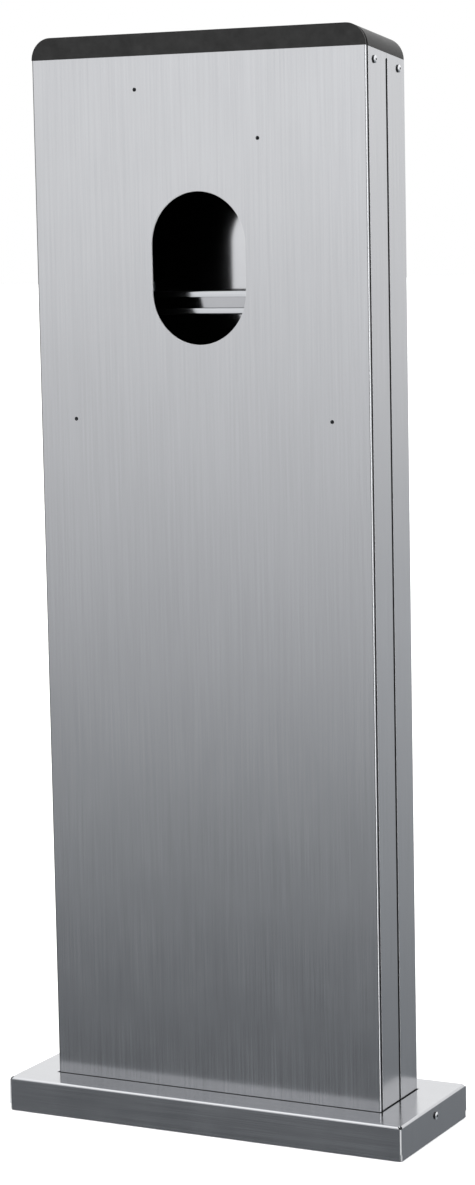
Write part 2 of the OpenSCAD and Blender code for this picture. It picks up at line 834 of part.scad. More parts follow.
module plinth_cover() {
    h = plinth_h - ground_gap;
    end_x = plinth_w / 2;
    end_y = plinth_d / 2;
    fold_z = plinth_h - plinth_fold_r;
    color(steel) difference() {
        union() {
            translate([0, 0, ground_gap]) rotate([90, 0, 90])
                linear_extrude(2 * (end_x - sheet - corner_gap), center = true)
                hood_profile(plinth_d, h, sheet, plinth_fold_r);
            translate([0, 0, ground_gap]) rotate([90, 0, 0])
                linear_extrude(2 * end_y, center = true)
                hood_profile(plinth_w, h, sheet, plinth_fold_r);
        }
        // the folds stop short of the corners
        for (sx = [-1, 1], sy = [-1, 1]) scale([sx, sy, 1]) {
            translate([end_x - plinth_fold_r, end_y - plinth_fold_r, fold_z])
                cube([2 * plinth_fold_r, 2 * plinth_fold_r, plinth_h]);
            translate([end_x - corner_relief_d / 2, end_y - corner_relief_d / 2, fold_z - over])
                cylinder(h = plinth_h, d = corner_relief_d);
            translate([end_x - sheet - over, end_y - sheet - corner_gap, 0])
                cube([sheet + 2 * over, sheet + 2 * corner_gap, ground_gap + notch_h]);
            translate([end_x - sheet - corner_gap, end_y - sheet - over, 0])
                cube([corner_gap, sheet + 3 * over, fold_z]);
        }
        translate([-side_x - cutout_gap, front_y - cutout_gap, 0])
            cube([col_w + 2 * cutout_gap, col_d + 2 * cutout_gap, plinth_h + over]);
        both_sides()
            rod_x(seam_y, plinth_screw_z, end_x - sheet - over, end_x + over, m5_hole_r);
    }
}

module plinth_screws() {
    color(steel) both_sides() button_screw(plinth_w / 2, seam_y, plinth_screw_z);
}

module plinth_washers() {
    color(zinc) both_sides()
        ring_x(seam_y, plinth_screw_z, plinth_washer_x, washer_t, washer_r, m5_r);
}

module plinth_nuts() {
    color(zinc) both_sides()
        nut_x(seam_y, plinth_screw_z, plinth_washer_x - m5_nut_t, m5_nut_t, m5_nut_af, m5_r);
}

base_plate();
entry_edge_trim();
plinth_brackets();
upright_left();
upright_right();
foot_gussets();
top_crossbar();
middle_crossbar();
lower_crossbar();
frame_bolts();
frame_nuts();
c_rail();
rail_bracket_left();
rail_bracket_right();
rail_bolts();
rail_slide_nuts();
front_panel();
panel_studs();
panel_spacers();
panel_nuts();
panel_seals();
device_nuts();
rear_shell();
locating_studs();
stud_grommets();
seam_seals();
earth_bolt();
earth_nuts();
earth_washers();
cap_screws();
cap_washers();
cap_nuts();
cap_shell();
cap_front_plate();
cap_plate_studs();
cap_plate_spacers();
cap_plate_nuts();
cap_bracket_left();
cap_bracket_right();
plinth_cover();
plinth_screws();
plinth_washers();
plinth_nuts();
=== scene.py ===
import json
import math
from contextlib import contextmanager

import bmesh
import bpy
from mathutils import Matrix, Vector


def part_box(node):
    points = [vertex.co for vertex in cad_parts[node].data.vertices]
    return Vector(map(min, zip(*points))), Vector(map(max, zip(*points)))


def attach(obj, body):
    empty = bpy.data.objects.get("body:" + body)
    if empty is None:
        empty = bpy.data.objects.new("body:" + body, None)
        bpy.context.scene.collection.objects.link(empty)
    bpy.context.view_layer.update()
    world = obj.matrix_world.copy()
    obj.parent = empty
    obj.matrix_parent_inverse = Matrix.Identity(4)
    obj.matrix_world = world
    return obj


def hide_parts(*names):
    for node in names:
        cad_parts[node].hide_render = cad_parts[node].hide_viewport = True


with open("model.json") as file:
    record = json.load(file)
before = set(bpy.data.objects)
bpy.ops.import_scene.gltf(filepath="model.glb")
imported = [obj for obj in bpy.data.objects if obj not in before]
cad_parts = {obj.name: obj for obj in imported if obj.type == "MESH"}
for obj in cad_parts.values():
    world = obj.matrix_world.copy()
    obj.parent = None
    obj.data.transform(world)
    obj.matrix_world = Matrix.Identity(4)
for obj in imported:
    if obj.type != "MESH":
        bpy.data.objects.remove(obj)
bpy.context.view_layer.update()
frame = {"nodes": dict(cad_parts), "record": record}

bl_info = {
    "name": "Terminal pedestal",
    "version": (1, 0, 0),
    "blender": (4, 5, 0),
    "location": "3D View > Sidebar > Pedestal",
    "description": "Models and finishes a stainless-steel pedestal round its packed frame",
    "category": "Add Mesh",
}

# ---- places, all in metres and worked out from the frame ----

MM = 0.001
NEAR = 0.02 * MM

PANEL_LOW, PANEL_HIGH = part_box("front_panel")
UPRIGHT_LOW, UPRIGHT_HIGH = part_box("upright_right")
SHELL_LOW, SHELL_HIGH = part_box("rear_shell")
PLINTH_LOW, PLINTH_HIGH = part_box("plinth_cover")
HOOD_LOW, HOOD_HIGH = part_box("cap_shell")
PLATE_LOW, PLATE_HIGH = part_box("cap_front_plate")
RAIL_LOW, RAIL_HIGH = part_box("c_rail")
RAIL_BOLTS_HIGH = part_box("rail_bolts")[1]
CAP_STUDS_LOW, CAP_STUDS_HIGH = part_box("cap_plate_studs")

SIDE_X = PANEL_HIGH.x
FRONT_Y = PANEL_LOW.y
REAR_Y = SHELL_HIGH.y
TOP_Z = PANEL_HIGH.z
SEAM_Y = (UPRIGHT_HIGH.y + SHELL_LOW.y) / 2
TOP_SLOPE = math.atan2(TOP_Z - SHELL_HIGH.z, SHELL_LOW.y - FRONT_Y)

MOUNTS = {m["name"]: Vector(m["pos_m"]) for m in frame["record"]["mounts"]}
OPENINGS = {o["name"]: o["box_m"] for o in frame["record"]["physics"]["openings"]}


def edge_z(y):
    """Height of the column's sloping top edge at depth y."""
    return TOP_Z - (y - FRONT_Y) * math.tan(TOP_SLOPE)


# ---- sizes and colours that a user may change ----


def length(name, about, default):
    """A length property, in metres."""
    return bpy.props.FloatProperty(
        name=name, description=about, default=default, min=0.0, subtype="DISTANCE",
        unit="LENGTH", precision=5,
    )


def colour(name, about, default):
    """A colour property."""
    return bpy.props.FloatVectorProperty(
        name=name, description=about, default=default, size=3, min=0.0, max=1.0,
        subtype="COLOR",
    )


def share(name, about, default):
    """A number from 0 to 1."""
    return bpy.props.FloatProperty(
        name=name, description=about, default=default, min=0.0, max=1.0, subtype="FACTOR",
    )


class PedestalSizes(bpy.types.PropertyGroup):
    """Sizes of the sheet-metal work"""

    sheet: length("Sheet", "Thickness of the folded sheets", 2 * MM)
    fold: length("Fold radius", "Outer radius of the column's crisp folds", 0.35 * MM)
    plinth_fold: length("Plinth fold radius", "Outer radius of the plinth's folds", 3 * MM)
    panel_round: length("Panel edge", "Rounding of the front panel's long edges", 2.3 * MM)
    edge_break: length("Edge break", "Width of the broken cut edges", 0.25 * MM)
    upright_flange: length("Upright flange", "Width of the uprights' flanges", 45 * MM)
    shell_flange: length("Shell flange", "Width of the rear shell's flanges", 26 * MM)
    flange_cut: length("Flange cut", "The flanges end this far below the top edge", 38 * MM)
    groove_ease: length("Groove ease", "Extra width of the gap behind the front panel", 0.5 * MM)
    seam_gap: length("Seam", "Width of the groove between upright and rear shell", 5.0 * MM)
    seam_drop: length("Seam drop", "From the cap's edge to the seam's round top", 8.7 * MM)
    relief: length("Relief", "Diameter of the seam's round top", 5.4 * MM)
    opening_w: length("Opening width", "Width of the cable opening", 130 * MM)
    opening_h: length("Opening height", "Height of the cable opening", 188 * MM)
    device_hole: length("Device hole", "Diameter of the terminal's screw holes", 4.8 * MM)
    screw_hole: length("Screw hole", "Diameter of the holes for the side screws", 5.6 * MM)
    cutout_gap: length("Cut-out gap", "Between the plinth's cut-out and the column", 2 * MM)
    corner_relief: length("Corner relief", "Diameter of the plinth's corner holes", 5 * MM)
    corner_gap: length("Corner gap", "Between the plinth's flanges at a corner", 0.3 * MM)
    notch: length("Corner notch", "Height of the notch in the plinth's end flanges", 8 * MM)
    cap_wall: length("Cap wall", "Wall of the cap's hood", 2 * MM)
    cap_edge: length("Cap edge", "Rounding of the cap's front and rear rims", 0.9 * MM)
    head: length("Screw head", "Diameter of the button heads", 9.5 * MM)
    head_h: length("Head height", "Height of the button heads", 2.64 * MM)
    skirt: length("Head skirt", "Height of the heads' straight rim", 1.5 * MM)
    socket: length("Socket", "Width across flats of the screws' sockets", 3 * MM)
    shank: length("Shank", "Diameter of the screws", 5 * MM)
    screw_len: length("Screw length", "Length under the head", 14 * MM)
    rail_wall: length("Rail wall", "Wall of the cable rail", 1.5 * MM)
    rail_fold: length("Rail fold radius", "Outer radius of the cable rail's folds", 2 * MM)
    rail_slot: length("Rail slot", "Width of the cable rail's slot", 14 * MM)
    rail_bolt_hole: length("Rail hole", "Diameter of the holes for the rail's bolts", 6.6 * MM)
    bolt_head: length("Bolt head", "Width across flats of the rail's bolts", 10 * MM)


class PedestalFinish(bpy.types.PropertyGroup):
    """Colours and surface of the finishes"""

    steel: colour("Steel", "Ground stainless steel", (0.463, 0.468, 0.484))
    cut_edge: colour("Cut edge", "Laser-cut edge of the sheets", (0.52, 0.53, 0.54))
    bright: colour("Bright steel", "Screws", (0.70, 0.71, 0.73))
    # Painted shade: a near-black colour on the screws' rims and sockets stands for the shade round the
    # heads and inside the sockets.
    painted_shade_skirt: colour("Head skirt", "Rims and sockets of the screws", (0.035, 0.035, 0.037))
    rail: colour("Rail steel", "Cable rail", (0.50, 0.51, 0.53))
    # Painted shade: the darker colour of the rail's web stands for the shade behind its lips.
    rail_painted_shade: colour("Rail inside", "Duller inner faces of the cable rail", (0.36, 0.365, 0.38))
    black: colour("Black", "Powder coat of the cap", (0.018, 0.018, 0.018))
    zinc: colour("Zinc", "Zinc-plated inner parts", (0.50, 0.52, 0.54))
    rubber: colour("Rubber", "Seals and spacers", (0.012, 0.012, 0.012))
    # Painted shade: this near-black colour goes on the front panel's inner face and in the grooves,
    # where it stands for the shade inside the column.
    painted_shade: colour("Lining", "Mat inside the front panel", (0.002, 0.002, 0.002))
    nylon: colour("Nylon", "Grommets", (0.62, 0.60, 0.55))
    brass: colour("Brass", "Earthing nuts", (0.70, 0.50, 0.20))
    roughness: share("Roughness", "Mean roughness of the ground steel", 0.19)
    grain: share("Grain", "Strength of the grinding marks", 0.6)
    mottle: share("Mottle", "Strength of the soft clouds in the steel", 0.3)


class PedestalStage(bpy.types.PropertyGroup):
    """Camera, light and floor"""

    camera_place: bpy.props.FloatVectorProperty(
        name="Camera", description="Place of the camera", size=3, subtype="TRANSLATION",
        unit="LENGTH", default=(1.7238, -3.3316, 1.1351),
    )
    yaw: bpy.props.FloatProperty(
        name="Yaw", description="Turn of the camera to the left of straight ahead",
        default=math.radians(27.132), subtype="ANGLE", unit="ROTATION",
    )
    pitch: bpy.props.FloatProperty(
        name="Pitch", description="Tilt of the camera below the horizon",
        default=math.radians(6.968), subtype="ANGLE", unit="ROTATION",
    )
    roll: bpy.props.FloatProperty(
        name="Roll", description="Roll of the camera",
        default=math.radians(-1.132), subtype="ANGLE", unit="ROTATION",
    )
    lens: bpy.props.FloatProperty(
        name="Lens", description="Focal length on a 36 mm sensor", default=90.96,
        subtype="DISTANCE_CAMERA",
    )
    floor_colour: colour("Floor", "Pale studio floor", (0.93, 0.93, 0.93))
    floor_radius: length("Floor radius", "Radius of the studio floor", 60.0)


# ---- modelling helpers ----


def select_only(obj):
    """Makes obj the one selected and active object."""
    bpy.ops.object.select_all(action="DESELECT")
    obj.select_set(True)
    bpy.context.view_layer.objects.active = obj


@contextmanager
def editing(obj):
    """Edit mode on obj alone."""
    select_only(obj)
    bpy.ops.object.mode_set(mode="EDIT")
    yield bmesh.from_edit_mesh(obj.data)
    bpy.ops.object.mode_set(mode="OBJECT")


def choose(obj, kind, test):
    """In edit mode, selects the faces, edges or vertices that pass the test, and no others."""
    bpy.ops.mesh.select_mode(type=kind)
    bpy.ops.mesh.select_all(action="DESELECT")
    mesh = bmesh.from_edit_mesh(obj.data)
    parts = {"FACE": mesh.faces, "EDGE": mesh.edges, "VERT": mesh.verts}[kind]
    for part in parts:
        if test(part):
            part.select_set(True)
    mesh.select_flush_mode()
    bmesh.update_edit_mesh(obj.data)


def lies_at(part, **place):
    """True if all corners of an edge or a face have the given coordinates."""
    return all(
        abs(v.co["xyz".index(axis)] - value) < NEAR
        for v in part.verts
        for axis, value in place.items()
    )


def placed(name):
    """Names the object just added and moves its place into its mesh."""
    obj = bpy.context.object
    bpy.ops.object.transform_apply(location=True, rotation=True, scale=True)
    obj.name = name
    obj.data.name = name
    return obj


def add_box(name, low, high):
    """A box between two corners."""
    low, high = Vector(low), Vector(high)
    bpy.ops.object.select_all(action="DESELECT")
    bpy.ops.mesh.primitive_cube_add(size=1, location=(low + high) / 2)
    bpy.context.object.scale = high - low
    return placed(name)


def add_rod(name, start, end, radius, sides=48):
    """A round bar from start to end."""
    start, end = Vector(start), Vector(end)
    turn = (end - start).to_track_quat("Z", "Y").to_euler()
    bpy.ops.object.select_all(action="DESELECT")
    bpy.ops.mesh.primitive_cylinder_add(
        vertices=sides, radius=radius, depth=(end - start).length,
        location=(start + end) / 2, rotation=turn,
    )
    return placed(name)


def open_skin(name, low, high, gone):
    """The skin of a box without the faces that look in the directions listed in gone."""
    obj = add_box(name, low, high)
    with editing(obj):
        choose(obj, "FACE", lambda f: any(f.normal.dot(Vector(d)) > 0.9 for d in gone))
        bpy.ops.mesh.delete(type="FACE")
    return obj


def pull(obj, by, **place):
    """Extrudes the edges at a place by a vector, as a flange is turned."""
    with editing(obj):
        choose(obj, "EDGE", lambda e: lies_at(e, **place))
        bpy.ops.mesh.extrude_region_move(TRANSFORM_OT_translate={"value": by})


def fold(obj, radius, segments, *places):
    """Rounds the edges at the given places to a fold of that outer radius."""
    with editing(obj):
        choose(obj, "EDGE", lambda e: any(lies_at(e, **p) for p in places))
        bpy.ops.mesh.bevel(offset=radius, segments=segments, affect="EDGES")


def use_modifier(obj, kind, **values):
    """Adds a modifier, sets its values and applies it."""
    select_only(obj)
    modifier = obj.modifiers.new(kind.lower(), kind)
    for key, value in values.items():
        setattr(modifier, key, value)
    bpy.ops.object.modifier_apply(modifier=modifier.name)


def thicken(obj, wall):
    """Gives an open skin its wall, inwards; the rims get the second material slot."""
    use_modifier(
        obj, "SOLIDIFY", thickness=wall, offset=-1, use_even_offset=True,
        use_quality_normals=True, material_offset_rim=1,
    )


def combine(obj, other, operation):
    """Joins another solid to obj, or takes it away from obj."""
    use_modifier(obj, "BOOLEAN", object=other, operation=operation, solver="EXACT")
    bpy.data.objects.remove(other)


def carve(obj, cutters):
    """Takes several cutters, which don't touch each other, away from obj."""
    select_only(cutters[0])
    for cutter in cutters[1:]:
        cutter.select_set(True)
    if len(cutters) > 1:
        bpy.ops.object.join()
    combine(obj, cutters[0], "DIFFERENCE")


def trim_top(obj):
    """Cuts obj off at the column's sloping top and closes the cut."""
    with editing(obj):
        bpy.ops.mesh.select_all(action="SELECT")
        bpy.ops.mesh.bisect(
            plane_co=(0, FRONT_Y, TOP_Z), clear_outer=True, use_fill=True,
            plane_no=(0, math.sin(TOP_SLOPE), math.cos(TOP_SLOPE)),
        )


def polish(obj, width, segments=2):
    """Merges doubles, breaks the sharp edges and shades curved faces smoothly."""
    with editing(obj):
        bpy.ops.mesh.select_all(action="SELECT")
        bpy.ops.mesh.remove_doubles(threshold=0.005 * MM)
        bpy.ops.mesh.dissolve_limited(
            angle_limit=math.radians(0.5), delimit={"NORMAL", "MATERIAL"}
        )
        bpy.ops.mesh.normals_make_consistent(inside=False)
    use_modifier(
        obj, "BEVEL", width=width, segments=segments, limit_method="ANGLE",
        angle_limit=math.radians(50), use_clamp_overlap=True,
    )
    select_only(obj)
    bpy.ops.object.shade_smooth_by_angle(angle=math.radians(40))
    use_modifier(obj, "WEIGHTED_NORMAL", keep_sharp=True, weight=80)


def finish_piece(obj, body, materials, replaced):
    """Gives a finished piece its materials, its body and the CAD nodes it stands for."""
    for material in materials:
        obj.data.materials.append(material)
    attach(obj, body)
    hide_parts(*replaced)
    return obj


def paint(obj, slot_number, test):
    """Gives the faces that pass the test the material in that slot."""
    with editing(obj):
        choose(obj, "FACE", test)
        obj.active_material_index = slot_number
        bpy.ops.object.material_slot_assign()


def mirrored(obj, name):
    """A copy of obj on the other side of the centre plane, with its own mesh."""
    copy = obj.copy()
    copy.data = obj.data.copy()
    bpy.context.scene.collection.objects.link(copy)
    copy.name = name
    copy.data.name = name
    select_only(copy)
    copy.scale.x = -1
    bpy.ops.object.transform_apply(location=False, rotation=False, scale=True)
    with editing(copy):
        bpy.ops.mesh.select_all(action="SELECT")
        bpy.ops.mesh.normals_make_consistent(inside=False)
    return copy


def side_holes(sizes, side, screw, relief_z):
    """Cutters through a side sheet: the seam's round top and the hole of a side screw."""
    inner, outer = side * (SIDE_X - 2 * sizes.sheet), side * (SIDE_X + sizes.sheet)
    return [
        add_rod(name, (inner, y, z), (outer, y, z), diameter / 2)
        for name, y, z, diameter in (
            ("relief", SEAM_Y, relief_z, sizes.relief),
            ("screw", screw.y, screw.z, sizes.screw_hole),
        )
    ]


def side_screw_places():
    """Centres of the right-hand side screws, under their heads."""
    low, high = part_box("cap_screws")
    radius = bpy.context.scene.pedestal_sizes.head / 2
    return [
        Vector((SIDE_X, low.y + radius, high.z - radius)),
        Vector((SIDE_X, high.y - radius, low.z + radius)),
    ]


# ---- finishes ----


class Finish:
    """A material and the nodes that are added to it."""

    def __init__(self, name):
        self.material = bpy.data.materials.new(name)
        self.material.use_nodes = True
        self.tree = self.material.node_tree
        self.shader = self.tree.nodes["Principled BSDF"]

    def node(self, kind, inputs=(), **values):
        """Adds a node; an input is a value or the output of another node."""
        made = self.tree.nodes.new("ShaderNode" + kind)
        for key, value in values.items():
            setattr(made, key, value)
        for key, value in dict(inputs).items():
            self.feed(made.inputs[key], value)
        return made

    def feed(self, socket, value):
        if isinstance(value, bpy.types.NodeSocket):
            self.tree.links.new(value, socket)
        else:
            socket.default_value = value

    def set(self, **values):
        """Sets sockets of the shader, such as Base_Color for Base Color."""
        for key, value in values.items():
            self.feed(self.shader.inputs[key.replace("_", " ")], value)

    def place(self):
        return self.node("TexCoord").outputs["Object"]

    def noise(self, scale, detail=3.0, rough=0.5):
        """Noise from 0 to 1 on object coordinates; scale is one number an axis, per metre."""
        mapped = self.node("Mapping", {"Vector": self.place(), "Scale": scale})
        made = self.node(
            "TexNoise",
            {"Vector": mapped.outputs[0], "Scale": 1.0, "Detail": detail, "Roughness": rough},
        )
        return made.outputs["Fac"]

    def span(self, value, low, high, start=0.3, end=0.7):
        """Maps a noise value to the range from low to high."""
        made = self.node(
            "MapRange",
            {"Value": value, "From Min": start, "From Max": end, "To Min": low, "To Max": high},
        )
        return made.outputs["Result"]

    def math(self, operation, a, b):
        return self.node("Math", {0: a, 1: b}, operation=operation).outputs[0]

    def mix(self, factor, a, b):
        """Mixes two numbers."""
        return self.node("Mix", {0: factor, 2: a, 3: b}, data_type="FLOAT").outputs[0]

    def shade(self, colour, factor):
        """A colour times a grey factor."""
        grey = self.node("CombineXYZ", {0: factor, 1: factor, 2: factor}).outputs[0]
        made = self.node("VectorMath", {0: grey, 1: tuple(colour)}, operation="MULTIPLY")
        return made.outputs[0]

    def bump(self, height, strength, distance, below=None):
        inputs = {"Height": height, "Strength": strength, "Distance": distance}
        if below is not None:
            inputs["Normal"] = below
        return self.node("Bump", inputs).outputs["Normal"]


def ground_steel(name, colour, roughness, grain, mottle, along):
    """Ground stainless steel. along names the grain: Z, X, or SHEET, which follows a sheet
    that was ground along X before its ends were folded down."""
    made = Finish(name)
    fine, coarse, run = 1500.0, 420.0, 7.0
    if along == "SHEET":
        normal = made.node("SeparateXYZ", {0: made.node("NewGeometry").outputs["Normal"]})
        lying = made.math("GREATER_THAN", made.math("ABSOLUTE", normal.outputs["Y"], 0.0), 0.6)
        marks = [
            made.mix(
                lying,
                made.noise((run, size, run), detail=4.0),
                made.noise((run, run, size), detail=4.0),
            )
            for size in (fine, coarse)
        ]
    elif along == "X":
        marks = [made.noise((run, size, size), detail=4.0) for size in (fine, coarse)]
    else:
        marks = [made.noise((size, size, run), detail=4.0) for size in (fine, coarse)]
    clouds = made.noise((5.0, 5.0, 4.0), detail=2.0)
    smudges = made.noise((17.0, 17.0, 11.0), detail=5.0, rough=0.6)
    tone = made.math(
        "MULTIPLY",
        made.span(marks[0], 1.0 - 0.06 * grain, 1.0 + 0.06 * grain),
        made.span(marks[1], 1.0 - 0.05 * grain, 1.0 + 0.05 * grain),
    )
    tone = made.math("MULTIPLY", tone, made.span(clouds, 1.0 - 0.06 * mottle, 1.0 + 0.06 * mottle))
    tone = made.math("MULTIPLY", tone, made.span(smudges, 1.0 - 0.03 * mottle, 1.0 + 0.03 * mottle))
    rough = made.math(
        "ADD",
        made.span(marks[0], roughness - 0.06 * grain, roughness + 0.06 * grain),
        made.span(smudges, -0.05 * mottle, 0.05 * mottle),
    )
    made.set(
        Base_Color=made.shade(colour, tone),
        Roughness=rough,
        Metallic=1.0,
        Normal=made.bump(marks[0], 0.08 * grain, 0.02 * MM),
    )
    return made.material


def cut_steel(name, colour):
    """Laser-cut edge: dull and bright, with fine ribs across the sheet."""
    made = Finish(name)
    ribs = made.noise((2500.0, 2500.0, 2500.0), detail=2.0)
    made.set(
        Base_Color=made.shade(colour, made.span(ribs, 0.9, 1.03)),
        Roughness=made.span(ribs, 0.45, 0.6),
        Metallic=0.2,
        Normal=made.bump(ribs, 0.2, 0.05 * MM),
    )
    return made.material


def mill_steel(name, colour):
    """The smooth, unground inner face of a sheet."""
    made = Finish(name)
    clouds = made.noise((30.0, 30.0, 30.0), detail=4.0)
    made.set(
        Base_Color=made.shade(colour, made.span(clouds, 0.97, 1.03)),
        Roughness=made.span(clouds, 0.08, 0.11),
        Metallic=1.0,
        Normal=made.bump(clouds, 0.02, 0.02 * MM),
    )
    return made.material


def turned_steel(name, colour):
    """Bright fastener steel with light handling marks."""
    made = Finish(name)
    marks = made.noise((900.0, 900.0, 900.0), detail=5.0, rough=0.65)
    made.set(
        Base_Color=made.shade(colour, made.span(marks, 0.9, 1.06)),
        Roughness=made.span(marks, 0.08, 0.18),
        Metallic=1.0,
        Normal=made.bump(marks, 0.08, 0.02 * MM),
    )
    return made.material


def powder_coat(name, colour):
    """Fine-textured black powder coat."""
    made = Finish(name)
    orange_peel = made.noise((1400.0, 1400.0, 1400.0), detail=3.0, rough=0.6)
    dust = made.noise((60.0, 60.0, 60.0), detail=6.0, rough=0.7)
    made.set(
        Base_Color=made.shade(colour, made.span(dust, 0.75, 1.35)),
        Roughness=made.span(dust, 0.34, 0.44),
        IOR=1.22,
        Normal=made.bump(orange_peel, 0.12, 0.05 * MM),
    )
    return made.material


def plated(name, colour):
    """Zinc plating: a dull, slightly clouded metal."""
    made = Finish(name)
    spangle = made.noise((140.0, 140.0, 140.0), detail=5.0, rough=0.6)
    made.set(
        Base_Color=made.shade(colour, made.span(spangle, 0.86, 1.1)),
        Roughness=made.span(spangle, 0.34, 0.50),
        Metallic=1.0,
        Normal=made.bump(spangle, 0.05, 0.05 * MM),
    )
    return made.material


def moulded(name, colour, low, high):
    """Rubber or nylon with a fine moulded skin, rougher where it is dusty."""
    made = Finish(name)
    skin = made.noise((1100.0, 1100.0, 1100.0), detail=2.0)
    dust = made.noise((80.0, 80.0, 80.0), detail=5.0, rough=0.7)
    made.set(
        Base_Color=made.shade(colour, made.span(dust, 0.85, 1.2)),
        Roughness=made.span(dust, low, high),
        Normal=made.bump(skin, 0.15, 0.05 * MM),
    )
    return made.material


def finish(kind):
    """The material of that kind, made at its first use."""
    if kind in bpy.data.materials:
        return bpy.data.materials[kind]
    look = bpy.context.scene.pedestal_finish
    makers = {
        "column_steel": lambda n: ground_steel(
            n, look.steel, look.roughness, look.grain, look.mottle, "Z"
        ),
        "plinth_steel": lambda n: ground_steel(
            n, look.steel, look.roughness, look.grain, look.mottle, "SHEET"
        ),
        "rail_steel": lambda n: ground_steel(n, look.rail, 0.15, look.grain, look.mottle, "X"),
        "mill_steel": lambda n: mill_steel(n, look.steel),
        # Painted shade: the rail's web gets a darker colour that stands for the shade behind its lips.
        "rail_painted_shade": lambda n: mill_steel(n, look.rail_painted_shade),
        "cut_edge": lambda n: cut_steel(n, look.cut_edge),
        "screw_steel": lambda n: turned_steel(n, look.bright),
        # Painted shade: the screws' rims and sockets get a near-black plated finish that stands for
        # shade.
        "painted_shade_skirt": lambda n: plated(n, look.painted_shade_skirt),
        "black_powder": lambda n: powder_coat(n, look.black),
        "zinc_plate": lambda n: plated(n, look.zinc),
        "brass_plain": lambda n: plated(n, look.brass),
        # Painted shade: a near-black moulded skin that stands for the shade inside the column and in
        # its grooves.
        "painted_shade_black": lambda n: moulded(n, look.painted_shade, 0.7, 0.9),
        "black_rubber": lambda n: moulded(n, look.rubber, 0.6, 0.85),
        "white_nylon": lambda n: moulded(n, look.nylon, 0.35, 0.5),
    }
    return makers[kind](kind)


# ---- pieces ----


class PEDESTAL_OT_front_panel(bpy.types.Operator):
    """Front panel with its rounded long edges, cable opening and screw holes"""

    bl_idname = "pedestal.front_panel"
    bl_label = "Front Panel"
    bl_options = {"REGISTER", "UNDO"}

    def execute(self, context):
        sizes = context.scene.pedestal_sizes
        panel = add_box("front_panel_sheet", PANEL_LOW, PANEL_HIGH)
        fold(
            panel, sizes.panel_round, 8,
            {"x": SIDE_X, "y": FRONT_Y}, {"x": -SIDE_X, "y": FRONT_Y},
        )
        trim_top(panel)
        through_y = (FRONT_Y - sizes.sheet, PANEL_HIGH.y + sizes.sheet)
        low, high = OPENINGS["cable_opening"]
        middle = (low[2] + high[2]) / 2
        half_w, half_h = sizes.opening_w / 2, sizes.opening_h / 2
        cutter = add_box(
            "opening", (-half_w, through_y[0], middle - half_h),
            (half_w, through_y[1], middle + half_h),
        )
        heights = (middle - half_h, middle + half_h)
        corners = [{"x": x, "z": z} for x in (-half_w, half_w) for z in heights]
        fold(cutter, half_w - NEAR, 32, *corners)
        holes = [
            add_rod("hole", (p.x, through_y[0], p.z), (p.x, through_y[1], p.z), sizes.device_hole / 2)
            for name, p in MOUNTS.items()
            if name.startswith("terminal_")
        ]
        carve(panel, [cutter, *holes])
        polish(panel, sizes.edge_break)
        materials = [finish("column_steel"), finish("painted_shade_black"), finish("cut_edge")]
        finish_piece(panel, "frame", materials, ["front_panel"])
        # Painted shade: the inner face gets a near-black colour that stands for the shade inside the
        # column, seen through the opening.
        paint(panel, 1, lambda f: f.normal.y > 0.99)
        reach_x, reach_z = half_w + sizes.sheet, half_h + sizes.sheet
        paint(panel, 2, lambda f: all(
            abs(v.co.x) < reach_x and abs(v.co.z - middle) < reach_z for v in f.verts
        ))
        return {"FINISHED"}


class PEDESTAL_OT_uprights(bpy.types.Operator):
    """The two uprights: channels whose webs are the side faces' front strips"""

    bl_idname = "pedestal.uprights"
    bl_label = "Uprights"
    bl_options = {"REGISTER", "UNDO"}

    def execute(self, context):
        sizes = context.scene.pedestal_sizes
        rear_y = SEAM_Y - sizes.seam_gap / 2
        inner_x = SIDE_X - sizes.upright_flange
        low = Vector((inner_x, UPRIGHT_LOW.y + sizes.groove_ease, UPRIGHT_LOW.z))
        upright = open_skin(
            "upright_right_sheet", low, (SIDE_X, rear_y, TOP_Z),
            [(-1, 0, 0), (0, 0, -1), (0, 0, 1)],
        )
        thicken(upright, sizes.sheet)
        fold(upright, sizes.fold, 6, {"x": SIDE_X, "y": low.y}, {"x": SIDE_X, "y": rear_y})
        cut_z = edge_z(rear_y) - sizes.flange_cut
        carve(upright, [add_box(
            "flange_end", (inner_x - sizes.sheet, rear_y - 1.05 * sizes.sheet, cut_z),
            (SIDE_X - sizes.sheet, rear_y + sizes.sheet, TOP_Z + sizes.sheet),
        )])
        relief_z = edge_z(SEAM_Y) - sizes.seam_drop
        tab = add_box(
            "tab", (SIDE_X - sizes.sheet, rear_y - sizes.sheet, relief_z),
            (SIDE_X, UPRIGHT_HIGH.y, TOP_Z + sizes.sheet),
        )
        combine(upright, tab, "UNION")
        carve(upright, side_holes(sizes, 1, side_screw_places()[0], relief_z))
        trim_top(upright)
        polish(upright, sizes.edge_break)
        left = mirrored(upright, "upright_left_sheet")
        for piece, node in ((upright, "upright_right"), (left, "upright_left")):
            finish_piece(
                piece, "frame",
                [finish("column_steel"), finish("cut_edge"), finish("painted_shade_black")], [node],
            )
            # Painted shade: the front flange's face in the groove behind the panel gets a near-black
            # colour that stands for the groove's shade.
            paint(piece, 2, lambda f: f.normal.y < -0.9 and all(
                abs(v.co.y - low.y) < NEAR for v in f.verts
            ))
        return {"FINISHED"}


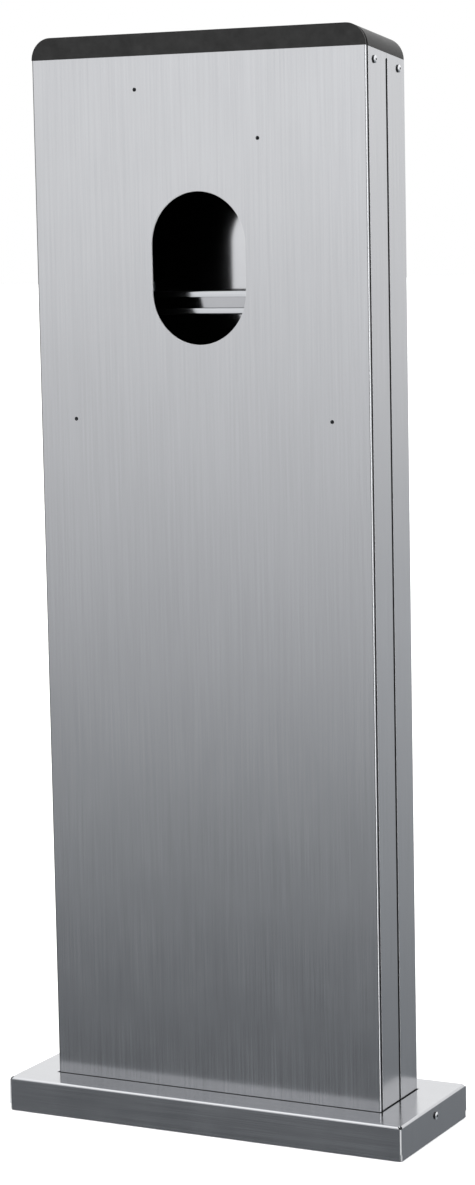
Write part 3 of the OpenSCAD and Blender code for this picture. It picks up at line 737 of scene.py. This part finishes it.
class PEDESTAL_OT_rear_shell(bpy.types.Operator):
    """Rear shell, whose sides are the side faces' rear strips"""

    bl_idname = "pedestal.rear_shell"
    bl_label = "Rear Shell"
    bl_options = {"REGISTER", "UNDO"}

    def execute(self, context):
        sizes = context.scene.pedestal_sizes
        front_y = SEAM_Y + sizes.seam_gap / 2
        low, high = (-SIDE_X, front_y, SHELL_LOW.z), (SIDE_X, REAR_Y, TOP_Z)
        shell = open_skin("rear_shell_sheet", low, high, [(0, -1, 0), (0, 0, -1), (0, 0, 1)])
        pull(shell, (-sizes.shell_flange, 0, 0), x=SIDE_X, y=front_y)
        pull(shell, (sizes.shell_flange, 0, 0), x=-SIDE_X, y=front_y)
        corners = [{"x": x, "y": y} for x in (-SIDE_X, SIDE_X) for y in (front_y, REAR_Y)]
        with editing(shell):
            bpy.ops.mesh.select_all(action="SELECT")
            bpy.ops.mesh.normals_make_consistent(inside=False)
        thicken(shell, sizes.sheet)
        fold(shell, sizes.fold, 6, *corners)
        cut_z = edge_z(front_y) - sizes.flange_cut
        carve(shell, [add_box(
            "flange_ends", (-SIDE_X + sizes.sheet, front_y - sizes.sheet, cut_z),
            (SIDE_X - sizes.sheet, front_y + 1.05 * sizes.sheet, TOP_Z + sizes.sheet),
        )])
        relief_z = edge_z(SEAM_Y) - sizes.seam_drop
        holes = []
        for side in (-1, 1):
            ends = sorted((side * (SIDE_X - sizes.sheet), side * SIDE_X))
            tab = add_box(
                "tab", (ends[0], SHELL_LOW.y, relief_z),
                (ends[1], front_y + sizes.sheet, TOP_Z + sizes.sheet),
            )
            combine(shell, tab, "UNION")
            holes += side_holes(sizes, side, side_screw_places()[1], relief_z)
        carve(shell, holes)
        trim_top(shell)
        polish(shell, sizes.edge_break)
        materials = [
            finish("column_steel"), finish("cut_edge"), finish("mill_steel"), finish("painted_shade_black"),
        ]
        finish_piece(shell, "frame", materials, ["rear_shell"])
        inner_y = REAR_Y - sizes.sheet
        paint(shell, 2, lambda f: all(abs(v.co.y - inner_y) < 0.2 * MM for v in f.verts))
        # Painted shade: the flange faces in the seam's groove get a near-black colour that stands for
        # the groove's shade.
        paint(shell, 3, lambda f: f.normal.y < -0.9 and all(
            abs(v.co.y - front_y) < NEAR and v.co.z < relief_z for v in f.verts
        ))
        return {"FINISHED"}


class PEDESTAL_OT_plinth_cover(bpy.types.Operator):
    """Folded plinth cover with its corner holes, notches and the column's cut-out"""

    bl_idname = "pedestal.plinth_cover"
    bl_label = "Plinth Cover"
    bl_options = {"REGISTER", "UNDO"}

    def execute(self, context):
        sizes = context.scene.pedestal_sizes
        end_x, end_y = PLINTH_HIGH.x, PLINTH_HIGH.y
        low_z, top_z = PLINTH_LOW.z, PLINTH_HIGH.z
        cover = open_skin(
            "plinth_cover_sheet", (-end_x, -end_y, low_z), (end_x, end_y, top_z), [(0, 0, -1)]
        )
        long_folds = [{"y": y, "z": top_z} for y in (-end_y, end_y)]
        end_folds = [{"x": x, "z": top_z} for x in (-end_x, end_x)]
        fold(cover, sizes.plinth_fold, 8, *long_folds, *end_folds)
        thicken(cover, sizes.sheet)
        corners = [Vector((x, y, 0)) for x in (-end_x, end_x) for y in (-end_y, end_y)]
        fold_z = top_z - sizes.plinth_fold
        carve(cover, [self.open_fold(sizes, c, fold_z) for c in corners])
        carve(cover, [self.slit(sizes, c, fold_z) for c in corners])
        carve(cover, [self.notch(sizes, c) for c in corners])
        gap = sizes.cutout_gap
        cutout = add_box(
            "cutout", (-SIDE_X - gap, FRONT_Y - gap, fold_z - gap),
            (SIDE_X + gap, REAR_Y + gap, top_z + gap),
        )
        screw_low, screw_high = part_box("plinth_screws")
        screw_z = (screw_low.z + screw_high.z) / 2
        reach = end_x + 2 * sizes.sheet
        ends = [(x, SEAM_Y, screw_z) for x in (-reach, reach)]
        hole = add_rod("screws", *ends, sizes.screw_hole / 2)
        combine(cover, cutout, "DIFFERENCE")
        combine(cover, hole, "DIFFERENCE")
        use_modifier(
            cover, "MIRROR", use_axis=(True, False, False), use_bisect_axis=(True, False, False),
        )
        polish(cover, sizes.edge_break)
        materials = [finish("plinth_steel"), finish("cut_edge")]
        finish_piece(cover, "plinth", materials, ["plinth_cover"])
        raw = end_x - sizes.sheet - NEAR
        paint(cover, 1, lambda f: abs(f.normal.y) > 0.95 and all(abs(v.co.x) > raw for v in f.verts)
              and all(v.co.z < fold_z for v in f.verts))
        return {"FINISHED"}

    def block(self, name, corner, inner, outer, z0, z1):
        """A box at a corner, from inner to outer, both counted outwards from the corner."""
        xs = sorted(corner.x + math.copysign(1, corner.x) * d for d in (inner[0], outer[0]))
        ys = sorted(corner.y + math.copysign(1, corner.y) * d for d in (inner[1], outer[1]))
        return add_box(name, (xs[0], ys[0], z0), (xs[1], ys[1], z1))

    def open_fold(self, sizes, corner, fold_z):
        """Cutter that opens the folds at a corner and makes the round hole there."""
        reach, spare = -sizes.plinth_fold, sizes.sheet
        above_z = 1.5 * PLINTH_HIGH.z
        above = self.block("fold", corner, (reach, reach), (spare, spare), fold_z, above_z)
        radius = sizes.corner_relief / 2
        place = corner - Vector((math.copysign(radius, corner.x), math.copysign(radius, corner.y), 0))
        low, high = Vector((0, 0, fold_z - MM)), Vector((0, 0, above_z + spare))
        combine(above, add_rod("relief", place + low, place + high, radius), "UNION")
        return above

    def slit(self, sizes, corner, fold_z):
        """Cutter for the narrow gap that parts the two flanges at a corner."""
        inner = -sizes.sheet - sizes.corner_gap
        return self.block(
            "slit", corner, (inner, -1.5 * sizes.sheet), (-sizes.sheet, sizes.sheet),
            -sizes.sheet, fold_z + 0.1 * MM,
        )

    def notch(self, sizes, corner):
        """Cutter for the notch at the foot of an end flange's raw edge."""
        return self.block(
            "notch", corner, (-sizes.sheet - sizes.corner_gap / 2, -sizes.sheet),
            (sizes.sheet, sizes.sheet), -sizes.sheet, PLINTH_LOW.z + sizes.notch,
        )


class PEDESTAL_OT_cap(bpy.types.Operator):
    """Cap: a front plate with round ends and, behind a shadow gap, the hood"""

    bl_idname = "pedestal.cap"
    bl_label = "Cap"
    bl_options = {"REGISTER", "UNDO"}

    def execute(self, context):
        sizes = context.scene.pedestal_sizes
        plate = self.block("cap_plate_round", PLATE_LOW, PLATE_HIGH)
        polish(plate, sizes.cap_edge / 2, 3)
        hood = self.block("cap_hood", HOOD_LOW, HOOD_HIGH)
        with editing(hood):
            choose(hood, "EDGE", lambda e: self.on_rim(e, HOOD_LOW.y) or self.on_rim(e, HOOD_HIGH.y))
            bpy.ops.mesh.bevel(offset=sizes.cap_edge, segments=4, affect="EDGES")
            choose(hood, "FACE", lambda f: f.normal.z < -0.9)
            bpy.ops.mesh.delete(type="FACE")
        thicken(hood, sizes.cap_wall)
        stud_z = (CAP_STUDS_LOW.z + CAP_STUDS_HIGH.z) / 2
        reach = CAP_STUDS_HIGH.x - sizes.shank / 2
        carve(hood, [
            add_rod(
                "stud", (x, HOOD_LOW.y - sizes.sheet, stud_z),
                (x, HOOD_LOW.y + 2 * sizes.sheet, stud_z), sizes.screw_hole / 2,
            )
            for x in (-reach, 0, reach)
        ])
        polish(hood, sizes.edge_break)
        for piece, node in ((plate, "cap_front_plate"), (hood, "cap_shell")):
            finish_piece(piece, "cap", [finish("black_powder")], [node])
        return {"FINISHED"}

    def block(self, name, low, high):
        """A solid in the cap's outline between the depths of two corners."""
        fall = (high.y - low.y) * math.tan(TOP_SLOPE)
        body = add_box(name, (low.x, low.y, low.z + fall), high)
        with editing(body):
            choose(body, "VERT", lambda v: abs(v.co.y - high.y) < NEAR)
            bpy.ops.transform.translate(value=(0, 0, -fall))
            choose(body, "EDGE", lambda e: self.on_shoulder(e, low, high))
            radius = (high.z - low.z - fall) * math.cos(TOP_SLOPE)
            bpy.ops.mesh.bevel(offset=radius - 0.1 * MM, segments=24, affect="EDGES")
        return body

    def on_shoulder(self, edge, low, high):
        """True for the upper edges at the two ends, which fall to the rear."""
        runs_back = abs(edge.verts[0].co.y - edge.verts[1].co.y) > NEAR
        at_end = any(lies_at(edge, x=x) for x in (low.x, high.x))
        height = sum(v.co.z for v in edge.verts) / 2
        return runs_back and at_end and height > (low.z + high.z) / 2

    def on_rim(self, edge, y):
        """True for the outline at depth y, apart from its lower edge."""
        if not lies_at(edge, y=y):
            return False
        level = abs(edge.verts[0].co.z - edge.verts[1].co.z) < NEAR
        lowest = min(f.calc_center_median().z for f in edge.link_faces)
        return not (level and any(f.normal.z < -0.9 for f in edge.link_faces)) and lowest > 0


class PEDESTAL_OT_screws(bpy.types.Operator):
    """Button-head screws with hexagon sockets, on the sides and at the plinth's ends"""

    bl_idname = "pedestal.screws"
    bl_label = "Screws"
    bl_options = {"REGISTER", "UNDO"}

    def execute(self, context):
        sizes = context.scene.pedestal_sizes
        pattern = self.button_screw(sizes)
        low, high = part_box("plinth_screws")
        plinth_place = Vector((PLINTH_HIGH.x, SEAM_Y, (low.z + high.z) / 2))
        groups = (
            ("cap_screws_turned", "frame", side_screw_places(), "cap_screws"),
            ("plinth_screws_turned", "plinth", [plinth_place], "plinth_screws"),
        )
        for name, body, places, node in groups:
            copies = [self.copy_to(pattern, p) for p in places]
            copies += [mirrored(c, "screw") for c in copies]
            select_only(copies[0])
            for copy in copies[1:]:
                copy.select_set(True)
            bpy.ops.object.join()
            copies[0].name = name
            copies[0].data.name = name
            finish_piece(copies[0], body, [], [node])
        bpy.data.objects.remove(pattern)
        return {"FINISHED"}

    def button_screw(self, sizes):
        """One screw at the origin, its head along +X."""
        screw = add_rod("screw", (-sizes.screw_len, 0, 0), (0, 0, 0), sizes.shank / 2)
        radius, skirt = sizes.head / 2, sizes.skirt
        height = sizes.head_h - skirt
        dome = (radius * radius + height * height) / (2 * height)
        steps = 10
        with editing(screw):
            choose(screw, "FACE", lambda f: f.normal.x > 0.9)
            bpy.ops.mesh.inset(thickness=0)
            widen = 2 * radius / sizes.shank
            bpy.ops.transform.resize(value=(1, widen, widen))
            bpy.ops.mesh.extrude_region_move(TRANSFORM_OT_translate={"value": (skirt, 0, 0)})
            rim = radius
            for i in range(1, steps + 1):
                up = height * i / steps
                reach = dome * dome - (up + dome - height) ** 2
                ring = max(math.sqrt(max(reach, 0.0)), radius / 8)
                bpy.ops.mesh.extrude_region_move(
                    TRANSFORM_OT_translate={"value": (height / steps, 0, 0)}
                )
                bpy.ops.transform.resize(value=(1, ring / rim, ring / rim))
                rim = ring
        across = sizes.socket / math.sqrt(3)
        socket = add_rod("socket", (skirt, 0, 0), (2 * sizes.head_h, 0, 0), across, sides=6)
        combine(screw, socket, "DIFFERENCE")
        polish(screw, 0.1 * MM)
        screw.data.materials.append(finish("screw_steel"))
        screw.data.materials.append(finish("painted_shade_skirt"))
        # Painted shade: the skirt and the socket get a near-black colour that stands for the shade
        # round the head's rim and inside the socket.
        paint(screw, 1, lambda f: abs(f.normal.x) < 0.8 and all(
            0 < v.co.x < skirt + 0.2 * MM and v.co.yz.length > 0.9 * radius for v in f.verts
        ))
        paint(screw, 1, lambda f: all(
            v.co.x > 0 and v.co.yz.length < across + NEAR for v in f.verts
        ))
        return screw

    def copy_to(self, pattern, place):
        copy = pattern.copy()
        copy.data = pattern.data.copy()
        bpy.context.scene.collection.objects.link(copy)
        select_only(copy)
        copy.location = place
        bpy.ops.object.transform_apply(location=True, rotation=False, scale=False)
        return copy


class PEDESTAL_OT_cable_rail(bpy.types.Operator):
    """Folded C-rail behind the opening"""

    bl_idname = "pedestal.cable_rail"
    bl_label = "Cable Rail"
    bl_options = {"REGISTER", "UNDO"}

    def execute(self, context):
        sizes = context.scene.pedestal_sizes
        rail = open_skin(
            "cable_rail_folded", RAIL_LOW, RAIL_HIGH, [(-1, 0, 0), (1, 0, 0), (0, -1, 0)]
        )
        lip = (RAIL_HIGH.z - RAIL_LOW.z - sizes.rail_slot) / 2
        pull(rail, (0, 0, lip), y=RAIL_LOW.y, z=RAIL_LOW.z)
        pull(rail, (0, 0, -lip), y=RAIL_LOW.y, z=RAIL_HIGH.z)
        with editing(rail):
            bpy.ops.mesh.select_all(action="SELECT")
            bpy.ops.mesh.normals_make_consistent(inside=False)
        heights = (RAIL_LOW.z, RAIL_HIGH.z)
        corners = [{"y": y, "z": z} for y in (RAIL_LOW.y, RAIL_HIGH.y) for z in heights]
        fold(rail, sizes.rail_fold, 6, *corners)
        thicken(rail, sizes.rail_wall)
        bolt_x = RAIL_BOLTS_HIGH.x - sizes.bolt_head / math.sqrt(3)
        middle = (RAIL_LOW.z + RAIL_HIGH.z) / 2
        carve(rail, [
            add_rod(
                "bolt", (x, RAIL_HIGH.y - 2 * sizes.rail_wall, middle),
                (x, RAIL_HIGH.y + sizes.rail_wall, middle), sizes.rail_bolt_hole / 2,
            )
            for x in (-bolt_x, bolt_x)
        ])
        polish(rail, sizes.edge_break)
        materials = [finish("rail_steel"), finish("cut_edge"), finish("rail_painted_shade")]
        finish_piece(rail, "frame", materials, ["c_rail"])
        web_y = RAIL_HIGH.y - sizes.rail_wall
        # Painted shade: the web's inner face gets a darker colour that stands for the shade behind the
        # rail's lips.
        paint(rail, 2, lambda f: all(abs(v.co.y - web_y) < 0.2 * MM for v in f.verts))
        return {"FINISHED"}


class PEDESTAL_OT_inner_parts(bpy.types.Operator):
    """Finishes of the frame, the fasteners and the seals, with broken edges"""

    bl_idname = "pedestal.inner_parts"
    bl_label = "Inner Parts"
    bl_options = {"REGISTER", "UNDO"}

    def execute(self, context):
        sizes = context.scene.pedestal_sizes
        kinds = {
            "brushed_stainless": "column_steel",
            "bright_stainless": "screw_steel",
            "black_paint": "black_powder",
            "black_rubber": "black_rubber",
            "white_nylon": "white_nylon",
            "brass": "brass_plain",
            "zinc_steel": "zinc_plate",
        }
        for entry in frame["record"]["subparts"]:
            node = frame["nodes"][entry["node"]]
            if node.hide_render:
                continue
            node.data.materials.clear()
            node.data.materials.append(finish(kinds[entry["material_slot"]]))
            self.break_edges(node, sizes.edge_break)
        return {"FINISHED"}

    def break_edges(self, node, width):
        """Live modifiers, so that the CAD mesh itself stays as it is."""
        weld = node.modifiers.new("weld", "WELD")
        weld.merge_threshold = 0.002 * MM
        bevel = node.modifiers.new("edge", "BEVEL")
        bevel.width = width
        bevel.segments = 1
        bevel.limit_method = "ANGLE"
        bevel.angle_limit = math.radians(50)


class PEDESTAL_OT_stage(bpy.types.Operator):
    """Camera, soft studio light and a plain pale floor"""

    bl_idname = "pedestal.stage"
    bl_label = "Stage"
    bl_options = {"REGISTER", "UNDO"}

    def execute(self, context):
        stage = context.scene.pedestal_stage
        context.scene.view_settings.view_transform = "Standard"
        self.camera(context, stage)
        self.floor(stage)
        self.sky(context)
        self.lamp("key", (-1.2, -2.6, 4.2), 3.0, 30.0)
        return {"FINISHED"}

    def camera(self, context, stage):
        bpy.ops.object.camera_add(location=stage.camera_place)
        camera = context.object
        turn = (
            Matrix.Rotation(stage.yaw, 4, "Z")
            @ Matrix.Rotation(math.pi / 2 - stage.pitch, 4, "X")
            @ Matrix.Rotation(stage.roll, 4, "Z")
        )
        camera.rotation_euler = turn.to_euler()
        camera.name = "camera"
        camera.data.lens = stage.lens
        camera.data.sensor_width = 36.0
        camera.data.clip_end = 200.0
        context.scene.camera = camera

    def floor(self, stage):
        bpy.ops.object.select_all(action="DESELECT")
        bpy.ops.mesh.primitive_circle_add(
            vertices=96, radius=stage.floor_radius, fill_type="NGON", location=(0, 0, 0)
        )
        floor = placed("floor")
        made = Finish("studio_floor")
        fleck = made.noise((9.0, 9.0, 9.0), detail=2.0)
        made.set(
            Base_Color=made.shade(stage.floor_colour, made.span(fleck, 0.99, 1.01)),
            Roughness=0.9,
            Specular_IOR_Level=0.0,
        )
        floor.data.materials.append(made.material)
        floor.visible_glossy = False

    def sky(self, context):
        """Soft surround: it falls from bright to dark below the horizon, with a bright strip
        on the right and dark panels to the left and beside the camera. The camera itself
        sees plain white."""
        world = bpy.data.worlds.new("surround")
        context.scene.world = world
        world.use_nodes = True
        tree = world.node_tree
        way = tree.nodes.new("ShaderNodeTexCoord")
        split = tree.nodes.new("ShaderNodeSeparateXYZ")
        tree.links.new(way.outputs["Generated"], split.inputs[0])
        x, y, z = (split.outputs[axis] for axis in "XYZ")
        front = self.ramp(tree, z, (
            (-0.80, 0.50), (-0.45, 0.32), (-0.31, 0.10), (-0.27, 0.18), (-0.22, 0.32), (-0.118, 0.83),
            (0.0, 1.33), (0.05, 1.54), (0.12, 1.3), (0.26, 0.60), (0.5, 1.5), (1.0, 2.1),
        ))
        rear = self.ramp(tree, z, (
            (-0.80, 0.55), (-0.45, 0.38), (-0.31, 0.26), (-0.25, 0.37), (-0.118, 0.70), (-0.037, 1.03),
            (0.045, 1.22), (0.26, 1.31), (0.5, 1.3), (0.7, 1.6), (1.0, 2.1),
        ))
        depth = self.spread(tree, y, -0.8, 0.8)
        body = self.mixed(tree, depth, front, rear)
        turn = tree.nodes.new("ShaderNodeMath")
        turn.operation = "ARCTAN2"
        tree.links.new(y, turn.inputs[0])
        tree.links.new(x, turn.inputs[1])
        panels = self.around(tree, turn.outputs[0], (
            (-180, 0.22), (-137, 0.22), (-128, 0.93), (-118, 1.0), (-100, 1.08), (-78, 0.48),
            (-30, 0.42), (-22, 1.0), (126, 1.0), (134, 0.22), (180, 0.22),
        ))
        white, strip = (self.flat(tree, bright) for bright in (1.0, 5.5))
        for low, high in ((0.3, 0.6), (-0.32, -0.45)):
            panels = self.mixed(tree, self.spread(tree, z, low, high), panels, white)
        shaded = self.mixed(tree, None, body, panels, "MULTIPLY")
        on_strip = self.around(tree, turn.outputs[0], (
            (-180, 0.0), (-30, 0.0), (-25, 1.0), (-15, 1.0), (-9, 0.0), (180, 0.0),
        ))
        seen = self.mixed(tree, self.spread(tree, z, -0.33, -0.4), on_strip, self.flat(tree, 0.0))
        lit = self.mixed(tree, seen, shaded, strip)
        straight = tree.nodes.new("ShaderNodeLightPath").outputs["Is Camera Ray"]
        final = self.mixed(tree, straight, lit, white)
        tree.links.new(final, tree.nodes["Background"].inputs["Color"])

    def flat(self, tree, bright):
        node = tree.nodes.new("ShaderNodeRGB")
        node.outputs[0].default_value = (bright, bright, bright, 1)
        return node.outputs[0]

    def around(self, tree, turn, stops):
        """A ramp over the compass, in degrees to the left of +X."""
        return self.ramp(tree, turn, [(math.radians(a), b) for a, b in stops], False)

    def spread(self, tree, value, low, high):
        """0 at low, 1 at high."""
        node = tree.nodes.new("ShaderNodeMapRange")
        node.inputs["From Min"].default_value = low
        node.inputs["From Max"].default_value = high
        tree.links.new(value, node.inputs["Value"])
        return node.outputs["Result"]

    def mixed(self, tree, factor, a, b, blend="MIX"):
        node = tree.nodes.new("ShaderNodeMix")
        node.data_type = "RGBA"
        node.blend_type = blend
        if factor is None:
            node.inputs[0].default_value = 1.0
        else:
            tree.links.new(factor, node.inputs[0])
        tree.links.new(a, node.inputs[6])
        tree.links.new(b, node.inputs[7])
        return node.outputs[2]

    def ramp(self, tree, value, stops, cool=True):
        """Brightness by a value, as (value, brightness) stops; the dark ones a little bluish."""
        low, high = stops[0][0], stops[-1][0]
        ramp = tree.nodes.new("ShaderNodeValToRGB")
        tree.links.new(self.spread(tree, value, low, high), ramp.inputs["Fac"])
        points = ramp.color_ramp.elements
        while len(points) < len(stops):
            points.new(0.5)
        for point, (place, bright) in zip(points, stops):
            point.position = (place - low) / (high - low)
            tint = 1.0 + (0.08 * max(0.0, 1.0 - bright) if cool else 0.0)
            point.color = (bright / tint, bright, bright * tint, 1.0)
        return ramp.outputs["Color"]

    def lamp(self, name, place, width, power):
        """A square soft light that shows in no reflection."""
        bpy.ops.object.light_add(type="AREA", location=place)
        lamp = bpy.context.object
        lamp.name = name
        aim = Vector((0, 0, 0.7)) - Vector(place)
        lamp.rotation_euler = aim.to_track_quat("-Z", "Y").to_euler()
        lamp.data.shape = "SQUARE"
        lamp.data.size = width
        lamp.data.energy = power
        lamp.visible_camera = False
        lamp.visible_glossy = False


STEPS = (
    PEDESTAL_OT_front_panel,
    PEDESTAL_OT_uprights,
    PEDESTAL_OT_rear_shell,
    PEDESTAL_OT_plinth_cover,
    PEDESTAL_OT_cap,
    PEDESTAL_OT_screws,
    PEDESTAL_OT_cable_rail,
    PEDESTAL_OT_inner_parts,
    PEDESTAL_OT_stage,
)


class PEDESTAL_PT_steps(bpy.types.Panel):
    """Lists the steps and the sizes"""

    bl_idname = "PEDESTAL_PT_steps"
    bl_label = "Pedestal"
    bl_space_type = "VIEW_3D"
    bl_region_type = "UI"
    bl_category = "Pedestal"

    def draw(self, context):
        layout = self.layout
        for step in STEPS:
            layout.operator(step.bl_idname)
        for group in (
            context.scene.pedestal_sizes,
            context.scene.pedestal_finish,
            context.scene.pedestal_stage,
        ):
            box = layout.box()
            for name in group.__annotations__:
                box.prop(group, name)


GROUPS = {
    "pedestal_sizes": PedestalSizes,
    "pedestal_finish": PedestalFinish,
    "pedestal_stage": PedestalStage,
}


def register():
    for made in (*GROUPS.values(), *STEPS, PEDESTAL_PT_steps):
        bpy.utils.register_class(made)
    for name, group in GROUPS.items():
        setattr(bpy.types.Scene, name, bpy.props.PointerProperty(type=group))


def unregister():
    for name in GROUPS:
        delattr(bpy.types.Scene, name)
    for made in (PEDESTAL_PT_steps, *reversed(STEPS), *GROUPS.values()):
        bpy.utils.unregister_class(made)


def main():
    register()
    bpy.ops.pedestal.front_panel()
    bpy.ops.pedestal.uprights()
    bpy.ops.pedestal.rear_shell()
    bpy.ops.pedestal.plinth_cover()
    bpy.ops.pedestal.cap()
    bpy.ops.pedestal.screws()
    bpy.ops.pedestal.cable_rail()
    bpy.ops.pedestal.inner_parts()
    bpy.ops.pedestal.stage()


if __name__ == "__main__":
    main()
